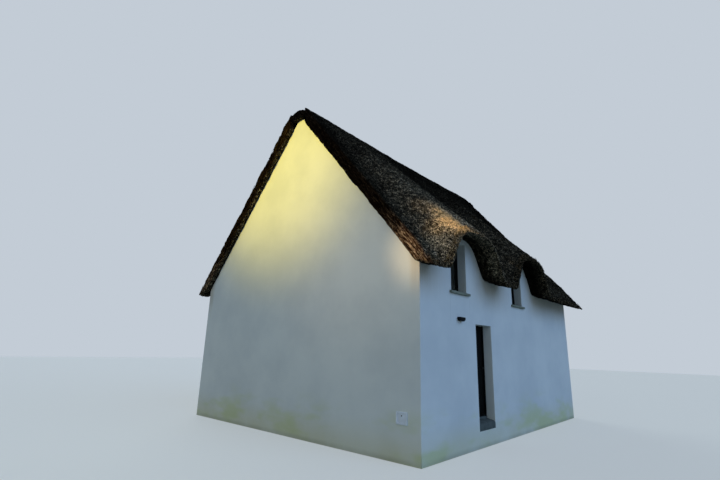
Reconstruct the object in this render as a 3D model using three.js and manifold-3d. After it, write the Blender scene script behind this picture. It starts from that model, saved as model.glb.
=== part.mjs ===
// A thatched cottage: rendered masonry walls, one and a half storeys, under a steep gabled roof of
// reed thatch whose eaves lift over the upper windows in eyebrow arches.
// Millimetres, +Z up. The origin is the middle of the footprint, at the foot of the walls.
// +X runs along the house, and the front, with the door, faces -Y.
import * as THREE from 'three';
import { mergeVertices } from 'three/addons/utils/BufferGeometryUtils.js';
import Module from 'manifold-3d';

const wasm = await Module();
wasm.setup();

// Driving dimensions of the house
const WALL_LENGTH = 8800;
const WALL_DEPTH = 7700;
const WALL_THICKNESS = 320;
const SOFFIT_HEIGHT = 3600;
const PITCH = THREE.MathUtils.degToRad(50);
const GROUND_FLOOR_LEVEL = 560;
const UPPER_FLOOR_LEVEL = 3060;
const SLAB_THICKNESS = 200;
// The joint between pieces that only lie against each other
const FIT = 0.3;

// The thatch
const THATCH_RISE = 460;
const VERGE_OVERHANG = 150;
const EAVE_OVERHANG = 520;
const SOFFIT_FALL = 0.3;
// At the near gable the eave is drawn in by this share of its overhang, rounding the corners in plan
const CORNER_DRAW = 0.19;
const CORNER_LENGTH = 450;
const LIP_THICKNESS = 40;
const LIP_ROUNDING = 160;
const RIDGE_RADIUS = 650;
const RIDGE_HALF_WIDTH = 520;
const RIDGE_UNDERSIDE = 8050;
// Distances behind the wall's outer face at which a slope is bent, from its lip up to the ridge
const THATCH_ROWS = [-520, -480, -430, -360, -180, 0, 340, 720, 1150, 1700, 2300, 2900];
const RIDGE_ROUND_STEPS = [250, 380];

// The eyebrow arches over the upper windows: the soffit's arch and the crown of thatch over it
const ARCH_AT_WALL = { rise: 810, halfWidth: 1250 };
const ARCH_AT_LIP = { rise: 910, halfWidth: 1360 };
const ARCH_SHARPNESS = 2.1;
const CROWN_RISE = 950;
const CROWN_HALF_WIDTH = 1450;
const CROWN_REACH = 3500;
const CROWN_SHARPNESS_AT_LIP = 2.4;
const CROWN_SHARPNESS_AT_TOP = 1.5;
// Distances from an arch's middle, and from the house's middle on its plain end, at which a slope
// is bent along the house
const ARCH_STEPS = [200, 400, 550, 700, 850, 1000, 1150, 1250, 1360, 1450];
const PLAIN_END_STEPS = [2500, 3500, 4200];

// Windows, their centres along the house, and the door
const WINDOW_CENTRES = [-2880, 300];
const WINDOW_WIDTH = 670;
const WINDOW_SILL_LEVEL = 3190;
const WINDOW_HEAD_LEVEL = 4300;
const REVEAL_DEPTH = 200;
const SILL_THICKNESS = 50;
const SILL_EAR = 80;
const SILL_PROJECTION = 55;
const DOOR_LEFT = -2180;
const DOOR_RIGHT = -1410;
const DOORWAY_FOOT = 330;
const DOOR_HEAD = 2550;

// Joinery sections
const FRAME_WIDTH = 45;
const FRAME_DEPTH = 70;
const CASEMENT_WIDTH = 45;
const CASEMENT_DEPTH = 56;
const GLASS_THICKNESS = 24;
const DOOR_FRAME_DEPTH = 60;
const DOOR_STOP_DEPTH = 8;
const DOOR_STOP_LIP = 16;
const LEAF_THICKNESS = 47;
const LEAF_CLEARANCE = 5;
const LOCK_SIDE_CLEARANCE = 8;
const LEAF_FLOOR_CLEARANCE = 8;
const STEP_DEPTH = 190;
const STEP_TOP_AT_BACK = 515;
const STEP_NOSE_DEPTH = 30;
const STEP_TOP_AT_NOSE = 482;
const STEP_TOP_AT_FRONT = 452;

// Roof timbers
const PURLIN_WIDTH = 100;
const PURLIN_HEIGHT = 220;
const PURLIN_SETBACKS = [1400, 2650];
const RIDGE_BEAM_WIDTH = 120;
const RIDGE_BEAM_HEIGHT = 240;

// Door furniture
const HANDLE_HEIGHT = 1040;
const HANDLE_BACKSET = 62;
const ROSE_RADIUS = 26;
const ROSE_THICKNESS = 9;
const NECK_RADIUS = 9;
const NECK_LENGTH = 50;
const LEVER_LENGTH = 125;
const LEVER_DEPTH = 14;
const LEVER_HEIGHT = 20;
const LEVER_OVERSHOOT = 9.5;
const HINGE_PIN_RADIUS = 8;
const HINGE_PIN_HEIGHT = 110;
const HINGE_SETBACK = 230;

// The lamp under the first upper window
const LAMP_CENTRE = -2900;
const LAMP_TOP = 2655;
const LAMP_WIDTH = 230;
const LAMP_HEIGHT = 86;
const LAMP_DEPTH = 72;
const LAMP_END_HEIGHT = 42;
const LAMP_FOOT_WIDTH = 84;
const LAMP_TURN = 172;
const LAMP_PLATE_WIDTH = 150;
const LAMP_PLATE_THICKNESS = 8;
const LAMP_PLATE_TOP_DROP = 8;
const LAMP_PLATE_HEIGHT = 56;

// The meter cover on the near gable
const COVER_PLACE = [-3440, 755];
const COVER_WIDTH = 250;
const COVER_HEIGHT = 220;
const COVER_BORDER = 34;
const COVER_THICKNESS = 22;
const HATCH_GAP = 1;
const HATCH_THICKNESS = 12;

const CURVE_SEGMENTS = 8;
const ROUND_SIDES = 16;
const MERGE_DISTANCE = 0.001;

const END_X = WALL_LENGTH / 2;
const FACE_Y = WALL_DEPTH / 2;
const INNER_X = END_X - WALL_THICKNESS;
const INNER_Y = FACE_Y - WALL_THICKNESS;
const SLOPE = Math.tan(PITCH);

const render = new THREE.MeshStandardMaterial({ color: 0xdcdfdd, roughness: 0.92 });
const thatch = new THREE.MeshStandardMaterial({ color: 0x4d4337, roughness: 1 });
const ridgeThatch = new THREE.MeshStandardMaterial({ color: 0x3a342c, roughness: 1 });
const slate = new THREE.MeshStandardMaterial({ color: 0x5c6468, roughness: 0.75 });
const stone = new THREE.MeshStandardMaterial({ color: 0x83827c, roughness: 0.85 });
const joinery = new THREE.MeshStandardMaterial({ color: 0x202428, roughness: 0.45 });
const glass = new THREE.MeshStandardMaterial({ color: 0x35424c, roughness: 0.06 });
const timber = new THREE.MeshStandardMaterial({ color: 0x8a6b48, roughness: 0.8 });
const screed = new THREE.MeshStandardMaterial({ color: 0x9c968c, roughness: 0.85 });
const darkSteel = new THREE.MeshStandardMaterial({ color: 0x2a2b2d, roughness: 0.42, metalness: 1 });
const lampPaint = new THREE.MeshStandardMaterial({ color: 0x1d2023, roughness: 0.5 });
const coverPlastic = new THREE.MeshStandardMaterial({ color: 0xd2d3cf, roughness: 0.6 });

const cottage = new THREE.Group();

// Adds one named piece and returns it, so that it can be placed.
function piece(name, geometry, material, parent = cottage) {
  const mesh = new THREE.Mesh(geometry, material);
  mesh.name = name;
  parent.add(mesh);
  return mesh;
}

// A box given by its lowest and highest corners.
function block(name, low, high, material, parent = cottage) {
  const size = high.map((value, axis) => value - low[axis]);
  const mesh = piece(name, new THREE.BoxGeometry(...size), material, parent);
  mesh.position.set(...high.map((value, axis) => (value + low[axis]) / 2));
  return mesh;
}

// A rectangle's outline as a Shape or a Path.
function rectangle(left, right, bottom, top, Kind = THREE.Shape) {
  const points = [[left, bottom], [right, bottom], [right, top], [left, top]];
  return new Kind(points.map(([x, y]) => new THREE.Vector2(x, y)));
}

function extrude(shape, depth) {
  return new THREE.ExtrudeGeometry(shape, { depth, bevelEnabled: false, curveSegments: CURVE_SEGMENTS });
}

// Stands a drawing in X and Z upright, with its thickness running in +Y from y.
function standAcross(mesh, y, depth) {
  mesh.rotation.x = Math.PI / 2;
  mesh.position.y = y + depth;
  return mesh;
}

function toSolid(geometry) {
  const bare = geometry.index ? geometry.clone() : geometry;
  bare.deleteAttribute('normal');
  bare.deleteAttribute('uv');
  const merged = mergeVertices(bare, MERGE_DISTANCE);
  const vertProperties = Float32Array.from(merged.attributes.position.array);
  const triVerts = Uint32Array.from(merged.index.array);
  return new wasm.Manifold(new wasm.Mesh({ numProp: 3, vertProperties, triVerts }));
}

function toGeometry(solid) {
  const mesh = solid.getMesh();
  const geometry = new THREE.BufferGeometry();
  geometry.setAttribute('position', new THREE.BufferAttribute(mesh.vertProperties, 3));
  geometry.setIndex(new THREE.BufferAttribute(mesh.triVerts, 1));
  geometry.computeVertexNormals();
  return geometry;
}

function join(geometries) {
  return toGeometry(geometries.map(toSolid).reduce((whole, next) => whole.add(next)));
}

// A bell that is 1 in the middle and 0 from halfWidth outwards. A higher sharpness gives it a
// flatter top and steeper sides.
function bell(distance, halfWidth, sharpness) {
  const part = Math.min(Math.abs(distance) / halfWidth, 1);
  return 0.5 + 0.5 * Math.cos(Math.PI * part ** sharpness);
}

function bells(x, centres, halfWidth, sharpness) {
  return centres.reduce((sum, centre) => sum + bell(x - centre, halfWidth, sharpness), 0);
}

// Where a place outside the wall really lies, once the corner at the near gable is rounded in plan.
// The near gable is at the end where the first of the centres lies.
function drawnIn(x, inward, centres) {
  const towardsNearGable = x * Math.sign(centres[0]);
  const cornerStart = END_X + VERGE_OVERHANG - CORNER_LENGTH;
  const corner = THREE.MathUtils.clamp((towardsNearGable - cornerStart) / CORNER_LENGTH, 0, 1);
  return inward < 0 ? inward * (1 - CORNER_DRAW * corner ** 2) : inward;
}

// Height of the thatch's underside. Inward is the distance behind the wall's outer face.
function underside(x, inward, centres) {
  const outside = THREE.MathUtils.clamp(-inward / EAVE_OVERHANG, 0, 1);
  const between = (key) => THREE.MathUtils.lerp(ARCH_AT_WALL[key], ARCH_AT_LIP[key], outside);
  const arch = between('rise') * bells(x, centres, between('halfWidth'), ARCH_SHARPNESS);
  const soffit = SOFFIT_HEIGHT + SOFFIT_FALL * Math.min(drawnIn(x, inward, centres), 0) + arch;
  const slope = SOFFIT_HEIGHT + SLOPE * inward;
  return Math.min(Math.max(soffit, slope), RIDGE_UNDERSIDE);
}

// Height of the weathered face of the thatch, with its lip rounded down to the eave's edge.
function weatherFace(x, inward, centres) {
  const travel = THREE.MathUtils.clamp((inward + EAVE_OVERHANG) / (CROWN_REACH + EAVE_OVERHANG), 0, 1);
  const sharpness = THREE.MathUtils.lerp(CROWN_SHARPNESS_AT_LIP, CROWN_SHARPNESS_AT_TOP, travel);
  const crown = CROWN_RISE * (1 - travel) * bells(x, centres, CROWN_HALF_WIDTH, sharpness);
  const face = SOFFIT_HEIGHT + THATCH_RISE + SLOPE * inward + crown;
  const turn = THREE.MathUtils.clamp((inward + EAVE_OVERHANG) / LIP_ROUNDING, 0, 1);
  const lip = underside(x, inward, centres) + LIP_THICKNESS;
  return THREE.MathUtils.lerp(lip, face, Math.sqrt(1 - (1 - turn) ** 2));
}

// Places along the house where the thatch changes shape, closer together over the arches.
function thatchColumns(centres) {
  const bothSides = [0, ...ARCH_STEPS.flatMap((step) => [-step, step])];
  const overArches = centres.flatMap((centre) => bothSides.map((step) => centre + step));
  const edge = END_X + VERGE_OVERHANG;
  const plainEnd = -Math.sign(centres[0]);
  const onPlainEnd = PLAIN_END_STEPS.map((step) => plainEnd * step);
  return [-edge, edge, ...onPlainEnd, ...overArches].sort((a, b) => a - b);
}

// Bends a block of thatch over the columns and rows: its top face takes the weathered height, its
// bottom face the height of the underside, and each row the place that plan gives it.
function thatchBlock(columns, rows, topHeight, bottomHeight, plan = (x, y) => y) {
  const geometry = new THREE.BoxGeometry(1, 1, 1, columns.length - 1, rows.length - 1, 1);
  const place = geometry.attributes.position;
  for (let i = 0; i < place.count; i += 1) {
    const x = columns[Math.round((place.getX(i) + 0.5) * (columns.length - 1))];
    const y = rows[Math.round((place.getY(i) + 0.5) * (rows.length - 1))];
    const z = place.getZ(i) > 0 ? topHeight(x, y) : bottomHeight(x, y);
    place.setXYZ(i, x, plan(x, y), z);
  }
  return geometry;
}

// One slope of the roof, drawn as the front one.
function thatchSlope(centres) {
  const rows = [...THATCH_ROWS.map((inward) => inward - FACE_Y), -RIDGE_HALF_WIDTH];
  const top = (x, y) => weatherFace(x, y + FACE_Y, centres);
  const bottom = (x, y) => underside(x, y + FACE_Y, centres);
  const plan = (x, y) => drawnIn(x, y + FACE_Y, centres) - FACE_Y;
  return thatchBlock(thatchColumns(centres), rows, top, bottom, plan);
}

// The saddle of thatch that wraps over the ridge, round on top and flat where it meets the beam.
function thatchRidge() {
  const half = RIDGE_HALF_WIDTH - FIT;
  const peak = SOFFIT_HEIGHT + THATCH_RISE + SLOPE * FACE_Y;
  const roundCentre = peak - RIDGE_RADIUS / Math.cos(PITCH);
  const flatHalf = FACE_Y - (RIDGE_UNDERSIDE - SOFFIT_HEIGHT) / SLOPE;
  const tangent = RIDGE_RADIUS * Math.sin(PITCH);
  const outwards = [flatHalf, ...RIDGE_ROUND_STEPS, tangent, half];
  const rows = [...outwards.map((step) => -step).reverse(), 0, ...outwards];
  const edge = END_X + VERGE_OVERHANG;
  const top = (x, y) => (Math.abs(y) < tangent
    ? roundCentre + Math.sqrt(RIDGE_RADIUS ** 2 - y ** 2)
    : peak - SLOPE * Math.abs(y));
  const bottom = (x, y) => Math.min(SOFFIT_HEIGHT + SLOPE * (FACE_Y - Math.abs(y)), RIDGE_UNDERSIDE);
  return thatchBlock([-edge, 0, edge], rows, top, bottom);
}

// The outline of a long wall's top edge between two places, following the arches.
function wallTop(left, right, centres) {
  const onArch = (x) => centres.some((centre) => Math.abs(x - centre) <= ARCH_AT_WALL.halfWidth);
  const inner = thatchColumns(centres).filter((x) => x > left && x < right && onArch(x));
  return [left, ...inner, right].map((x) => new THREE.Vector2(x, underside(x, 0, centres) - FIT));
}

// A stretch of long wall from its foot up to the soffit, with its windows cut through.
function longWall(left, right, foot, centres) {
  const top = wallTop(left, right, centres).reverse();
  const shape = new THREE.Shape([new THREE.Vector2(left, foot), new THREE.Vector2(right, foot), ...top]);
  const inside = centres.filter((centre) => centre > left && centre < right);
  shape.holes = inside.map((centre) => rectangle(
    centre - WINDOW_WIDTH / 2,
    centre + WINDOW_WIDTH / 2,
    WINDOW_SILL_LEVEL - SILL_THICKNESS,
    WINDOW_HEAD_LEVEL,
    THREE.Path,
  ));
  return extrude(shape, WALL_THICKNESS);
}

function addLongWalls() {
  const left = -INNER_X + FIT;
  const right = INNER_X - FIT;
  const stretches = [
    ['front_wall_near_end', left, DOOR_LEFT, 0],
    ['front_wall_over_door', DOOR_LEFT + FIT, DOOR_RIGHT - FIT, DOOR_HEAD],
    ['front_wall_far_end', DOOR_RIGHT, right, 0],
  ];
  for (const [name, from, to, foot] of stretches) {
    const wall = piece(name, longWall(from, to, foot, WINDOW_CENTRES), render);
    standAcross(wall, -FACE_Y, WALL_THICKNESS);
  }
  block(
    'front_wall_below_door',
    [DOOR_LEFT + FIT, -FACE_Y, 0],
    [DOOR_RIGHT - FIT, -INNER_Y, DOORWAY_FOOT],
    render,
  );
  const middle = (WINDOW_CENTRES[0] + WINDOW_CENTRES[1]) / 2;
  for (const [name, from, to] of [['near', left, middle - FIT], ['far', middle, right]]) {
    const back = piece(`back_wall_${name}_end`, longWall(from, to, 0, WINDOW_CENTRES), render);
    standAcross(back, INNER_Y, WALL_THICKNESS);
  }
}

// A gable wall, cut to the slope of the thatch that lies on it.
function addGableWall(name, x) {
  const flatHalf = FACE_Y - (RIDGE_UNDERSIDE - SOFFIT_HEIGHT) / SLOPE;
  const corners = [
    [-FACE_Y, 0],
    [FACE_Y, 0],
    [FACE_Y, SOFFIT_HEIGHT - FIT],
    [flatHalf, RIDGE_UNDERSIDE - FIT],
    [-flatHalf, RIDGE_UNDERSIDE - FIT],
    [-FACE_Y, SOFFIT_HEIGHT - FIT],
  ];
  const shape = new THREE.Shape(corners.map(([y, z]) => new THREE.Vector2(y, z)));
  const wall = piece(name, extrude(shape, WALL_THICKNESS), render);
  wall.rotation.set(Math.PI / 2, 0, Math.PI / 2, 'ZYX');
  wall.position.x = x;
}

function addFloors() {
  const levels = { ground_floor: GROUND_FLOOR_LEVEL, upper_floor: UPPER_FLOOR_LEVEL };
  for (const [name, level] of Object.entries(levels)) {
    const low = [-INNER_X + FIT, -INNER_Y + FIT, level - SLAB_THICKNESS];
    const high = [INNER_X - FIT, INNER_Y - FIT, level];
    block(name, low, high, screed);
  }
}

function addRoof() {
  piece('thatch_front_slope', thatchSlope(WINDOW_CENTRES), thatch);
  const mirrored = WINDOW_CENTRES.map((centre) => -centre);
  const back = piece('thatch_back_slope', thatchSlope(mirrored), thatch);
  back.rotation.z = Math.PI;
  piece('thatch_ridge', thatchRidge(), ridgeThatch);
}

// The ridge beam and the purlins run from gable to gable and carry the thatch.
function addRoofTimbers() {
  const length = 2 * (INNER_X - FIT);
  const beamTop = RIDGE_UNDERSIDE - FIT;
  block(
    'ridge_beam',
    [-length / 2, -RIDGE_BEAM_WIDTH / 2, beamTop - RIDGE_BEAM_HEIGHT],
    [length / 2, RIDGE_BEAM_WIDTH / 2, beamTop],
    timber,
  );
  for (const [side, facing] of [['front', -1], ['back', 1]]) {
    PURLIN_SETBACKS.forEach((setback, index) => {
      const name = `purlin_${side}_${index === 0 ? 'lower' : 'upper'}`;
      const section = new THREE.BoxGeometry(length, PURLIN_WIDTH, PURLIN_HEIGHT);
      const purlin = piece(name, section, timber);
      const drop = PURLIN_HEIGHT / 2 + FIT;
      purlin.rotation.x = -facing * PITCH;
      purlin.position.y = facing * (FACE_Y - setback - drop * Math.sin(PITCH));
      purlin.position.z = SOFFIT_HEIGHT + SLOPE * setback - drop * Math.cos(PITCH);
    });
  }
}

// A rectangular ring, drawn about the origin of X and Z.
function ring(width, height, border) {
  const shape = rectangle(-width / 2, width / 2, -height / 2, height / 2);
  const inner = rectangle(
    border - width / 2,
    width / 2 - border,
    border - height / 2,
    height / 2 - border,
    THREE.Path,
  );
  shape.holes = [inner];
  return shape;
}

// A fixed window in its reveal, built facing -Y about its own middle: frame, casement, glass and
// the slate sill, whose ears lie on the wall's face.
function addWindow(name, centre, side) {
  const group = new THREE.Group();
  cottage.add(group);
  group.position.x = centre;
  group.rotation.z = side === 'front' ? 0 : Math.PI;
  const width = WINDOW_WIDTH - 2 * FIT;
  const height = WINDOW_HEAD_LEVEL - WINDOW_SILL_LEVEL - 2 * FIT;
  const middle = (WINDOW_HEAD_LEVEL + WINDOW_SILL_LEVEL) / 2;
  const frameFace = REVEAL_DEPTH - FACE_Y;

  const frameBody = extrude(ring(width, height, FRAME_WIDTH), FRAME_DEPTH);
  const frame = piece(`${name}_frame`, frameBody, joinery, group);
  standAcross(frame, frameFace, FRAME_DEPTH).position.z = middle;

  const casementWidth = width - 2 * FRAME_WIDTH - 2 * FIT;
  const casementHeight = height - 2 * FRAME_WIDTH - 2 * FIT;
  const casementRing = ring(casementWidth, casementHeight, CASEMENT_WIDTH);
  const casement = piece(`${name}_casement`, extrude(casementRing, CASEMENT_DEPTH), joinery, group);
  const setBack = (FRAME_DEPTH - CASEMENT_DEPTH) / 2;
  standAcross(casement, frameFace + setBack, CASEMENT_DEPTH).position.z = middle;

  const paneHalfWidth = casementWidth / 2 - CASEMENT_WIDTH - FIT;
  const paneHalfHeight = casementHeight / 2 - CASEMENT_WIDTH - FIT;
  const paneFace = frameFace + (FRAME_DEPTH - GLASS_THICKNESS) / 2;
  block(
    `${name}_glass`,
    [-paneHalfWidth, paneFace, middle - paneHalfHeight],
    [paneHalfWidth, paneFace + GLASS_THICKNESS, middle + paneHalfHeight],
    glass,
    group,
  );

  const ear = WINDOW_WIDTH / 2 + SILL_EAR;
  const half = WINDOW_WIDTH / 2 - FIT;
  const face = -FACE_Y - FIT;
  const nose = -FACE_Y - SILL_PROJECTION;
  const outline = [
    [-ear, nose], [ear, nose], [ear, face], [half, face],
    [half, -INNER_Y], [-half, -INNER_Y], [-half, face], [-ear, face],
  ];
  const sillShape = new THREE.Shape(outline.map(([x, y]) => new THREE.Vector2(x, y)));
  const sill = piece(`${name}_sill`, extrude(sillShape, SILL_THICKNESS - FIT), slate, group);
  sill.position.z = WINDOW_SILL_LEVEL - SILL_THICKNESS;
}

// An upside-down U: two legs and a head, drawn in X and Z.
function portal(left, right, foot, head, inset) {
  const points = [
    [left, foot], [left + inset, foot], [left + inset, head - inset], [right - inset, head - inset],
    [right - inset, foot], [right, foot], [right, head], [left, head],
  ];
  return new THREE.Shape(points.map(([x, z]) => new THREE.Vector2(x, z)));
}

// The doorstep seen from its side, front at the left: its top falls outwards to a worn nose.
function stepSection() {
  const foot = DOORWAY_FOOT + FIT;
  const points = [
    [0, foot], [STEP_DEPTH, foot], [STEP_DEPTH, STEP_TOP_AT_BACK],
    [STEP_NOSE_DEPTH, STEP_TOP_AT_NOSE], [0, STEP_TOP_AT_FRONT],
  ];
  return new THREE.Shape(points.map(([y, z]) => new THREE.Vector2(y, z)));
}

function addDoorway() {
  const left = DOOR_LEFT + FIT;
  const right = DOOR_RIGHT - FIT;
  const stepBack = -FACE_Y + STEP_DEPTH;
  const step = piece('doorstep', extrude(stepSection(), right - left), stone);
  step.rotation.set(Math.PI / 2, Math.PI / 2, 0);
  step.position.set(left, -FACE_Y, 0);
  block(
    'door_threshold',
    [left, stepBack + FIT, DOORWAY_FOOT + FIT],
    [right, -INNER_Y, GROUND_FLOOR_LEVEL],
    stone,
  );
  const foot = GROUND_FLOOR_LEVEL + FIT;
  const head = DOOR_HEAD - FIT;
  const lining = extrude(portal(left, right, foot, head, FRAME_WIDTH), DOOR_FRAME_DEPTH);
  const stop = extrude(portal(left, right, foot, head, FRAME_WIDTH + DOOR_STOP_LIP), DOOR_STOP_DEPTH);
  stop.translate(0, 0, DOOR_FRAME_DEPTH - DOOR_STOP_DEPTH);
  const frame = piece('door_frame', join([lining, stop]), joinery);
  standAcross(frame, REVEAL_DEPTH - FACE_Y, DOOR_FRAME_DEPTH);
}

// A lever handle with its round rose, drawn about the spindle and standing out along -Y.
function leverHandle() {
  const rose = new THREE.CylinderGeometry(ROSE_RADIUS, ROSE_RADIUS, ROSE_THICKNESS, ROUND_SIDES);
  rose.translate(0, -ROSE_THICKNESS / 2, 0);
  const neckStart = ROSE_THICKNESS / 2;
  const neckLength = NECK_LENGTH - neckStart;
  const neck = new THREE.CylinderGeometry(NECK_RADIUS, NECK_RADIUS, neckLength, ROUND_SIDES);
  neck.translate(0, -(NECK_LENGTH + neckStart) / 2, 0);
  const lever = new THREE.BoxGeometry(LEVER_LENGTH, LEVER_DEPTH, LEVER_HEIGHT);
  lever.translate(LEVER_OVERSHOOT - LEVER_LENGTH / 2, LEVER_DEPTH / 2 - NECK_LENGTH, 0);
  return join([rose, neck, lever]);
}

// The door leaf and what moves with it. The pins of its hinges stand inside, on the left.
function addDoorLeaf() {
  const left = DOOR_LEFT + FIT + FRAME_WIDTH + LEAF_CLEARANCE;
  const right = DOOR_RIGHT - FIT - FRAME_WIDTH - LOCK_SIDE_CLEARANCE;
  const innerFace = REVEAL_DEPTH - FACE_Y + DOOR_FRAME_DEPTH;
  const outerFace = innerFace - LEAF_THICKNESS;
  const foot = GROUND_FLOOR_LEVEL + LEAF_FLOOR_CLEARANCE;
  const head = DOOR_HEAD - FIT - FRAME_WIDTH - LEAF_CLEARANCE;
  block('door_leaf', [left, outerFace, foot], [right, innerFace, head], joinery);

  const handleLevel = GROUND_FLOOR_LEVEL + HANDLE_HEIGHT;
  const spindle = right - HANDLE_BACKSET;
  const outer = piece('door_handle_outer', leverHandle(), darkSteel);
  outer.position.set(spindle, outerFace - FIT, handleLevel);
  const inner = piece('door_handle_inner', leverHandle(), darkSteel);
  inner.rotation.set(Math.PI, 0, 0);
  inner.position.set(spindle, innerFace + FIT, handleLevel);

  const pinX = left - LEAF_CLEARANCE / 2;
  const pinY = innerFace + HINGE_PIN_RADIUS + FIT;
  const levels = { lower: foot + HINGE_SETBACK, upper: head - HINGE_SETBACK };
  const radius = HINGE_PIN_RADIUS;
  for (const [place, level] of Object.entries(levels)) {
    const cylinder = new THREE.CylinderGeometry(radius, radius, HINGE_PIN_HEIGHT, ROUND_SIDES);
    const pin = piece(`door_hinge_${place}`, cylinder, darkSteel);
    pin.rotation.x = Math.PI / 2;
    pin.position.set(pinX, pinY, level);
  }
}

// The flat dark lamp under the first upper window: a plate on the wall and a boat-shaped body.
function addWallLamp() {
  const plateBack = -FACE_Y - FIT;
  const plateFace = plateBack - LAMP_PLATE_THICKNESS;
  const plateTop = LAMP_TOP - LAMP_PLATE_TOP_DROP;
  block(
    'wall_lamp_plate',
    [LAMP_CENTRE - LAMP_PLATE_WIDTH / 2, plateFace, plateTop - LAMP_PLATE_HEIGHT],
    [LAMP_CENTRE + LAMP_PLATE_WIDTH / 2, plateBack, plateTop],
    lampPaint,
  );
  const end = LAMP_WIDTH / 2;
  const foot = LAMP_FOOT_WIDTH / 2;
  const turn = LAMP_TURN / 2;
  const boat = new THREE.Shape();
  boat.moveTo(-end, 0);
  boat.lineTo(-end, -LAMP_END_HEIGHT);
  boat.quadraticCurveTo(-turn, -LAMP_HEIGHT, -foot, -LAMP_HEIGHT);
  boat.lineTo(foot, -LAMP_HEIGHT);
  boat.quadraticCurveTo(turn, -LAMP_HEIGHT, end, -LAMP_END_HEIGHT);
  boat.lineTo(end, 0);
  const body = piece('wall_lamp_body', extrude(boat, LAMP_DEPTH), lampPaint);
  standAcross(body, plateFace - FIT - LAMP_DEPTH, LAMP_DEPTH);
  body.position.x = LAMP_CENTRE;
  body.position.z = LAMP_TOP;
}

// The meter cover low on the near gable: a flat frame on the wall with a hatch inside it.
function addMeterCover() {
  const group = new THREE.Group();
  cottage.add(group);
  group.rotation.z = -Math.PI / 2;
  group.position.set(-END_X - FIT, ...COVER_PLACE);
  const border = extrude(ring(COVER_WIDTH, COVER_HEIGHT, COVER_BORDER), COVER_THICKNESS);
  const frame = piece('meter_cover_frame', border, coverPlastic, group);
  standAcross(frame, -COVER_THICKNESS, COVER_THICKNESS);
  const hatchHalfWidth = COVER_WIDTH / 2 - COVER_BORDER - HATCH_GAP;
  const hatchHalfHeight = COVER_HEIGHT / 2 - COVER_BORDER - HATCH_GAP;
  block(
    'meter_cover_hatch',
    [-hatchHalfWidth, -HATCH_THICKNESS, -hatchHalfHeight],
    [hatchHalfWidth, 0, hatchHalfHeight],
    coverPlastic,
    group,
  );
}

addLongWalls();
addGableWall('near_gable_wall', -END_X);
addGableWall('far_gable_wall', END_X - WALL_THICKNESS);
addFloors();
addRoof();
addRoofTimbers();
for (const side of ['front', 'back']) {
  WINDOW_CENTRES.forEach((centre, index) => addWindow(`${side}_window_${index + 1}`, centre, side));
}
addDoorway();
addDoorLeaf();
addWallLamp();
addMeterCover();

export default cottage;
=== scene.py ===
"""A thatched cottage: white rendered walls under a steep reed roof with eyebrow arches.

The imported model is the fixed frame. The roof's weathered reed, the render on the walls and the
finish of the joinery are made here, in metres, in the same frame.
"""
import math
import random

import bmesh
import bpy
from mathutils import Euler, Matrix, Vector, noise


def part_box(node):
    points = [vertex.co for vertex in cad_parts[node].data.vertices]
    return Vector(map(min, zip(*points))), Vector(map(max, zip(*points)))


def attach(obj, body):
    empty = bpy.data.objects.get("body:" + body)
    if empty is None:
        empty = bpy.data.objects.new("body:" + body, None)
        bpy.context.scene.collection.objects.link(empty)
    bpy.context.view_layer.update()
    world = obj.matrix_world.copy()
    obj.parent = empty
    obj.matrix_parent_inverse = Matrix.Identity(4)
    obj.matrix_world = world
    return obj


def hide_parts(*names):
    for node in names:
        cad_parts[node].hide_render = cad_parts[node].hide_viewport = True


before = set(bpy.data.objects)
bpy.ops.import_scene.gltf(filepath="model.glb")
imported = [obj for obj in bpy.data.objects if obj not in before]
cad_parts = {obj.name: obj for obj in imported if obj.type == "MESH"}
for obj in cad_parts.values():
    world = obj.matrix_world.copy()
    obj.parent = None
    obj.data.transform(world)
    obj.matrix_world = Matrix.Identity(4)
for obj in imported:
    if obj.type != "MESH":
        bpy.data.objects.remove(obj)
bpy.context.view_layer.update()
ROOT = "cottage"
DOOR = "front_door"

# The walls, read from the frame
WALL_LOW, WALL_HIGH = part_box("near_gable_wall")
END_X = -WALL_LOW.x
FACE_Y = WALL_HIGH.y
WALL_THICKNESS = WALL_HIGH.x - WALL_LOW.x
RIDGE_UNDERSIDE = WALL_HIGH.z
WINDOW_CENTRES = [sum(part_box(f"front_window_{n}_glass"), Vector()).x / 2 for n in (1, 2)]

# The thatch, as it is drawn in the part's source
SOFFIT_HEIGHT = 3.6
PITCH = math.radians(50)
SLOPE = math.tan(PITCH)
THATCH_RISE = 0.46
VERGE_X = END_X + 0.15
EAVE_OVERHANG = 0.52
SOFFIT_FALL = 0.3
CORNER_DRAW = 0.19
CORNER_LENGTH = 0.45
LIP_THICKNESS = 0.04
LIP_ROUNDING = 0.16
ARCH_RISE = (0.81, 0.91)
ARCH_HALF_WIDTH = (1.25, 1.36)
ARCH_SHARPNESS = 2.1
CROWN_RISE = 0.95
CROWN_HALF_WIDTH = 1.45
CROWN_REACH = 3.5
CROWN_SHARPNESS = (2.4, 1.5)
RIDGE_RADIUS = 0.65
PEAK = SOFFIT_HEIGHT + THATCH_RISE + SLOPE * FACE_Y
RIDGE_CENTRE = PEAK - RIDGE_RADIUS / math.cos(PITCH)
RIDGE_TANGENT = RIDGE_RADIUS * math.sin(PITCH)

# How the roof has settled, which is left to this dressing: the ridge dips between the gables,
# and the thatch is a little fuller over the far corners
RIDGE_DIP = 0.055
FAR_FULLNESS = 0.08
FAR_CORNER_START = 2.4
FAR_CORNER_LENGTH = 1.6
FULLEST_INWARD = 0.1
FULLNESS_HALF = 0.9
FULLNESS_SHARPNESS = 1.5

# How close points are to be welded, or to count as touching or as nearly in place
WELD = 1e-5
TOUCHING = 1e-4
NEARLY = 1e-3
# The turns between two faces, in degrees, that count as flat, as an edge to ease and as a crease
# in the shading, and the turn in radians that counts as a square corner
FLAT = 1
EDGE = 35
CREASE = 40
CORNER = 1


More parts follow.
